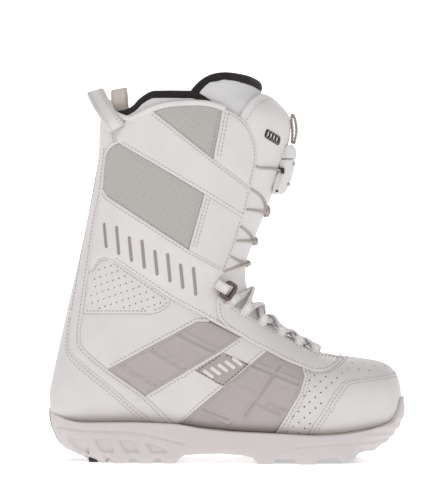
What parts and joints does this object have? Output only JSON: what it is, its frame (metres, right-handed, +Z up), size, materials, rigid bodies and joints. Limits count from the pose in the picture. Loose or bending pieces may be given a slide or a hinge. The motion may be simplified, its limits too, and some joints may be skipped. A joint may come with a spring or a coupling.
{
  "type": "snowboard boot",
  "caption": "Lace-up snowboard boot with a panelled shell, a lugged sole, a removable padded liner, ankle rings, a lace lock and two pull loops.",
  "frame": {"origin": "on the ground, under the middle of the sole's length and width", "axes": "+X to the toe, +Z up, -Y to the outer side of the right foot"},
  "size_m": [0.313, 0.1163, 0.3333],
  "materials": {
    "white_leather": "matt white synthetic leather with a fine grain",
    "ribbed_leather": "warm light grey embossed synthetic leather",
    "grey_textile": "light grey ripstop weave",
    "flex_textile": "soft stretch textile",
    "backing": "foam-backed cloth",
    "sole_rubber": "matt off-white rubber",
    "tread_rubber": "matt black rubber",
    "midsole_foam": "foam",
    "board": "pressed fibre board",
    "shank": "spring steel strip",
    "lower_lace": "round braided lace, white",
    "upper_lace": "thin braided cord, grey-brown",
    "webbing": "white woven webbing",
    "beige_webbing": "beige woven webbing",
    "handle_webbing": "grey-brown woven webbing",
    "ring_metal": "dark bronze, satin",
    "lock_plastic": "white moulded plastic",
    "dark_metal": "dark plated pins and rivets",
    "spring_steel": "spring steel",
    "liner_cloth": "padded knit liner",
    "binding": "black bound edge tape",
    "footbed": "black felted footbed",
    "label": "black woven label, plain"
  },
  "bodies": {
    "foot": {"outsole": "sole_rubber", "tread_heel": "tread_rubber", "tread_forefoot": "tread_rubber", "midsole": "midsole_foam", "shank": "shank", "lasting_board": "board", "foot_backing": "backing", "toe_cap": "white_leather", "vamp": "white_leather", "heel_counter": "white_leather", "quarter_lower": "white_leather", "backstay_lower": "white_leather", "rib_panels_rear": "ribbed_leather", "rib_panels_front": "ribbed_leather", "midfoot_bands": "white_leather", "midfoot_patches": "grey_textile", "vamp_eyestays": "white_leather", "lower_tongue": "white_leather", "lower_lace": "lower_lace", "lower_lace_loops": "webbing", "ring_tabs": "webbing", "footbed": "footbed", "liner_foot": "liner_cloth", "flex_shell": "flex_textile", "flex_tongue": "flex_textile", "flex_liner": "liner_cloth"},
    "cuff": {"cuff_backing": "backing", "collar_panels": "grey_textile", "diagonal_straps": "white_leather", "side_windows": "grey_textile", "front_panels": "white_leather", "quarter_upper": "white_leather", "quarter_bands": "white_leather", "vent_panels": "white_leather", "backstay_upper": "white_leather", "back_panel": "white_leather", "collar_back": "white_leather", "outer_tongue": "white_leather", "tongue_label": "label", "upper_lace": "upper_lace", "lock_body": "lock_plastic", "lock_spring": "spring_steel", "lock_pins": "dark_metal", "lock_rivets": "dark_metal", "liner_cuff": "liner_cloth", "collar_binding": "binding", "liner_tongue": "liner_cloth", "liner_tongue_binding": "binding"},
    "ring_outer": {"ankle_ring_outer": "ring_metal"},
    "ring_inner": {"ankle_ring_inner": "ring_metal"},
    "slider": {"lock_slider": "lock_plastic"},
    "handle": {"pull_handle": "handle_webbing"},
    "heel_loop": {"heel_pull_loop": "webbing"},
    "liner_loop": {"liner_pull_loop": "beige_webbing"}
  },
  "joints": [
    {"name": "ankle_flex", "type": "hinge", "parent": "foot", "child": "cuff", "pos_m": [-0.07, 0, 0.11], "axis": [0, 1, 0], "range_deg": [0, 10], "stiffness_Nm_per_rad": 115, "deforming": ["flex_shell", "flex_tongue", "flex_liner", "upper_lace"]},
    {"name": "ring_outer_swing", "type": "hinge", "parent": "foot", "child": "ring_outer", "pos_m": [-0.00307, -0.03772, 0.15186], "axis": [-0.5299, 0, -0.848], "range_deg": [0, 60]},
    {"name": "ring_inner_swing", "type": "hinge", "parent": "foot", "child": "ring_inner", "pos_m": [-0.00307, 0.03772, 0.15186], "axis": [0.5299, 0, 0.848], "range_deg": [0, 60]},
    {"name": "lock_slide", "type": "slide", "parent": "cuff", "child": "slider", "axis": [0.2756, 0, 0.9613], "range_m": [0, 0.003], "stiffness_N_per_m": 300},
    {"name": "handle_swing", "type": "hinge", "parent": "slider", "child": "handle", "pos_m": [0.0583, 0, 0.2778], "axis": [0, 1, 0], "range_deg": [0, 60], "stiffness_Nm_per_rad": 0.02},
    {"name": "heel_loop_swing", "type": "hinge", "parent": "cuff", "child": "heel_loop", "pos_m": [-0.095, 0, 0.289], "axis": [0, 1, 0], "range_deg": [-20, 8], "stiffness_Nm_per_rad": 0.05},
    {"name": "liner_loop_swing", "type": "hinge", "parent": "cuff", "child": "liner_loop", "pos_m": [-0.092, 0, 0.302], "axis": [0, 1, 0], "range_deg": [-8, 25], "stiffness_Nm_per_rad": 0.03}
  ]
}
